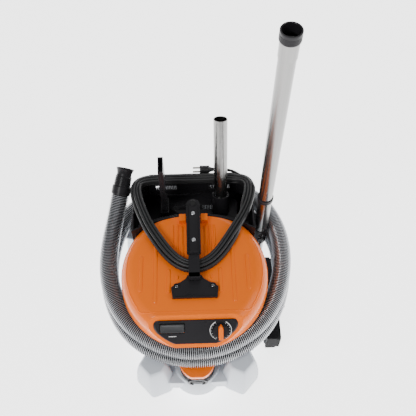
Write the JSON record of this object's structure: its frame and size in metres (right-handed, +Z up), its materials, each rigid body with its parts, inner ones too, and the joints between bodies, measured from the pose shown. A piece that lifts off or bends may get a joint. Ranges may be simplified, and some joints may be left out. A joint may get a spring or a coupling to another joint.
{
  "type": "canister vacuum cleaner",
  "caption": "Tub vacuum cleaner on castors with a lift-off motor head, rear tool tray, wound hose, looped mains cable, telescopic wand, floor tool and small tools.",
  "frame": {"origin": "on the floor, under the round tub's axis", "axes": "+Z up, +Y towards the tool tray at the rear, +X towards the wand"},
  "size_m": [0.5078, 0.5695, 0.945],
  "materials": {
    "orange_plastic": "glossy saturated orange moulding",
    "black_plastic": "semi-gloss black moulding",
    "grey_plastic": "light grey fine-grained moulding",
    "dark_grey_plastic": "dark grey satin moulding",
    "chrome_tube": "bright chromed steel tube",
    "hose_grey": "satin silver-grey corrugated hose",
    "cable_rubber": "dark rubber cable sheath",
    "seal_rubber": "matt black rubber",
    "wheel_rubber": "dark grey tread",
    "steel": "zinc plated steel",
    "pin_brass": "nickel plated pins",
    "filter_cloth": "pleated filter cloth",
    "bag_paper": "fleece bag",
    "board_green": "circuit board",
    "motor_alloy": "cast motor shell",
    "brush_fibre": "bristle strip"
  },
  "bodies": {
    "base": {"castor_base": "grey_plastic", "tank": "grey_plastic", "tank_seal": "seal_rubber", "front_boss": "black_plastic", "boss_cap": "orange_plastic", "inlet_elbow": "black_plastic", "dust_bag": "bag_paper", "tool_bracket": "black_plastic", "latch_pins": "steel", "hose": "hose_grey", "hose_cuff_inlet": "black_plastic", "hose_cuff_hand": "black_plastic"},
    "latch_right": {"latch_right": "dark_grey_plastic"},
    "latch_left": {"latch_left": "dark_grey_plastic"},
    "head": {"head_base": "black_plastic", "tool_tray": "black_plastic", "motor_cover": "orange_plastic", "control_panel": "black_plastic", "power_switch": "dark_grey_plastic", "speed_control": "board_green", "carry_handle": "black_plastic", "handle_screws": "steel", "fan_housing": "motor_alloy", "motor_stator": "motor_alloy", "filter_cage": "dark_grey_plastic", "filter_cartridge": "filter_cloth", "exhaust_filter": "filter_cloth", "cable_gland": "seal_rubber", "cable_coil": "cable_rubber", "cable_tail": "cable_rubber", "plug_body": "cable_rubber", "plug_pins": "pin_brass"},
    "motor_rotor": {"rotor": "steel", "impeller": "motor_alloy"},
    "power_rocker": {"power_rocker": "dark_grey_plastic"},
    "speed_knob": {"knob_base": "black_plastic", "knob_grip": "orange_plastic"},
    "hand_tube": {"hand_tube": "chrome_tube"},
    "crevice_tool": {"crevice_tool": "black_plastic"},
    "wand_lower": {"wand_inner": "chrome_tube"},
    "wand_upper": {"wand_outer": "chrome_tube", "wand_collar": "black_plastic", "wand_adjuster": "black_plastic"},
    "adjuster_button": {"adjuster_button": "dark_grey_plastic"},
    "floor_tool": {"floor_tool_body": "black_plastic", "floor_tool_brush": "brush_fibre"},
    "floor_neck": {"floor_tool_neck": "dark_grey_plastic"},
    "floor_pedal": {"floor_tool_pedal": "dark_grey_plastic"},
    "floor_rollers": {"floor_tool_rollers": "wheel_rubber"},
    "castor_fl": {"castor_fork_fl": "dark_grey_plastic"},
    "wheel_fl": {"castor_wheel_fl": "wheel_rubber"},
    "castor_fr": {"castor_fork_fr": "dark_grey_plastic"},
    "wheel_fr": {"castor_wheel_fr": "wheel_rubber"},
    "castor_rl": {"castor_fork_rl": "dark_grey_plastic"},
    "wheel_rl": {"castor_wheel_rl": "wheel_rubber"},
    "castor_rr": {"castor_fork_rr": "dark_grey_plastic"},
    "wheel_rr": {"castor_wheel_rr": "wheel_rubber"}
  },
  "joints": [
    {"name": "head_lift", "type": "slide", "parent": "base", "child": "head", "axis": [0, 0, 1], "range_m": [0, 0.25]},
    {"name": "motor_spin", "type": "hinge", "parent": "head", "child": "motor_rotor", "pos_m": [0, 0, 0.3], "axis": [0, 0, 1], "continuous": true},
    {"name": "power_rocker_tilt", "type": "hinge", "parent": "head", "child": "power_rocker", "pos_m": [-0.055, -0.14036, 0.31864], "axis": [1, 0, 0], "range_deg": [-8, 8]},
    {"name": "speed_knob_turn", "type": "hinge", "parent": "head", "child": "speed_knob", "pos_m": [0.058, -0.14773, 0.31311], "axis": [0, -0.7593, 0.6508], "range_deg": [-135, 135]},
    {"name": "latch_right_open", "type": "hinge", "parent": "base", "child": "latch_right", "pos_m": [0.152, 0, 0.228], "axis": [0, 1, 0], "range_deg": [0, 32]},
    {"name": "latch_left_open", "type": "hinge", "parent": "base", "child": "latch_left", "pos_m": [-0.152, 0, 0.228], "axis": [0, -1, 0], "range_deg": [0, 32]},
    {"name": "hand_tube_pull", "type": "slide", "parent": "head", "child": "hand_tube", "axis": [0, 0.4226, 0.9063], "range_m": [0, 0.2]},
    {"name": "crevice_tool_lift", "type": "slide", "parent": "head", "child": "crevice_tool", "axis": [0, 0, 1], "range_m": [0, 0.15]},
    {"name": "wand_release", "type": "slide", "parent": "head", "child": "wand_lower", "axis": [0, -1, 0], "range_m": [0, 0.045]},
    {"name": "wand_extend", "type": "slide", "parent": "wand_lower", "child": "wand_upper", "axis": [0, 0, 1], "range_m": [0, 0.3]},
    {"name": "adjuster_press", "type": "slide", "parent": "wand_upper", "child": "adjuster_button", "axis": [0, 1, 0], "range_m": [0, 0.003], "stiffness_N_per_m": 400},
    {"name": "floor_tool_release", "type": "slide", "parent": "base", "child": "floor_tool", "axis": [1, 0, 0], "range_m": [0, 0.1]},
    {"name": "floor_neck_fold", "type": "hinge", "parent": "floor_tool", "child": "floor_neck", "pos_m": [0.237, 0.03, 0.046], "axis": [0, 1, 0], "range_deg": [0, 90]},
    {"name": "floor_pedal_tilt", "type": "hinge", "parent": "floor_tool", "child": "floor_pedal", "pos_m": [0.227, 0.101, 0.043], "axis": [0, 1, 0], "range_deg": [-6, 6]},
    {"name": "floor_rollers_spin", "type": "hinge", "parent": "floor_tool", "child": "floor_rollers", "pos_m": [0.193, 0.03, 0.065], "axis": [0, 1, 0], "continuous": true},
    {"name": "castor_fl_swivel", "type": "hinge", "parent": "base", "child": "castor_fl", "pos_m": [-0.112, -0.179, 0.05], "axis": [0, 0, 1], "continuous": true},
    {"name": "wheel_fl_spin", "type": "hinge", "parent": "castor_fl", "child": "wheel_fl", "pos_m": [-0.112, -0.161, 0.023], "axis": [1, 0, 0], "continuous": true},
    {"name": "castor_fr_swivel", "type": "hinge", "parent": "base", "child": "castor_fr", "pos_m": [0.112, -0.179, 0.05], "axis": [0, 0, 1], "continuous": true},
    {"name": "wheel_fr_spin", "type": "hinge", "parent": "castor_fr", "child": "wheel_fr", "pos_m": [0.112, -0.161, 0.023], "axis": [1, 0, 0], "continuous": true},
    {"name": "castor_rl_swivel", "type": "hinge", "parent": "base", "child": "castor_rl", "pos_m": [-0.152, 0.2, 0.05], "axis": [0, 0, 1], "continuous": true},
    {"name": "wheel_rl_spin", "type": "hinge", "parent": "castor_rl", "child": "wheel_rl", "pos_m": [-0.152, 0.218, 0.023], "axis": [1, 0, 0], "continuous": true},
    {"name": "castor_rr_swivel", "type": "hinge", "parent": "base", "child": "castor_rr", "pos_m": [0.152, 0.2, 0.05], "axis": [0, 0, 1], "continuous": true},
    {"name": "wheel_rr_spin", "type": "hinge", "parent": "castor_rr", "child": "wheel_rr", "pos_m": [0.152, 0.218, 0.023], "axis": [1, 0, 0], "continuous": true}
  ]
}
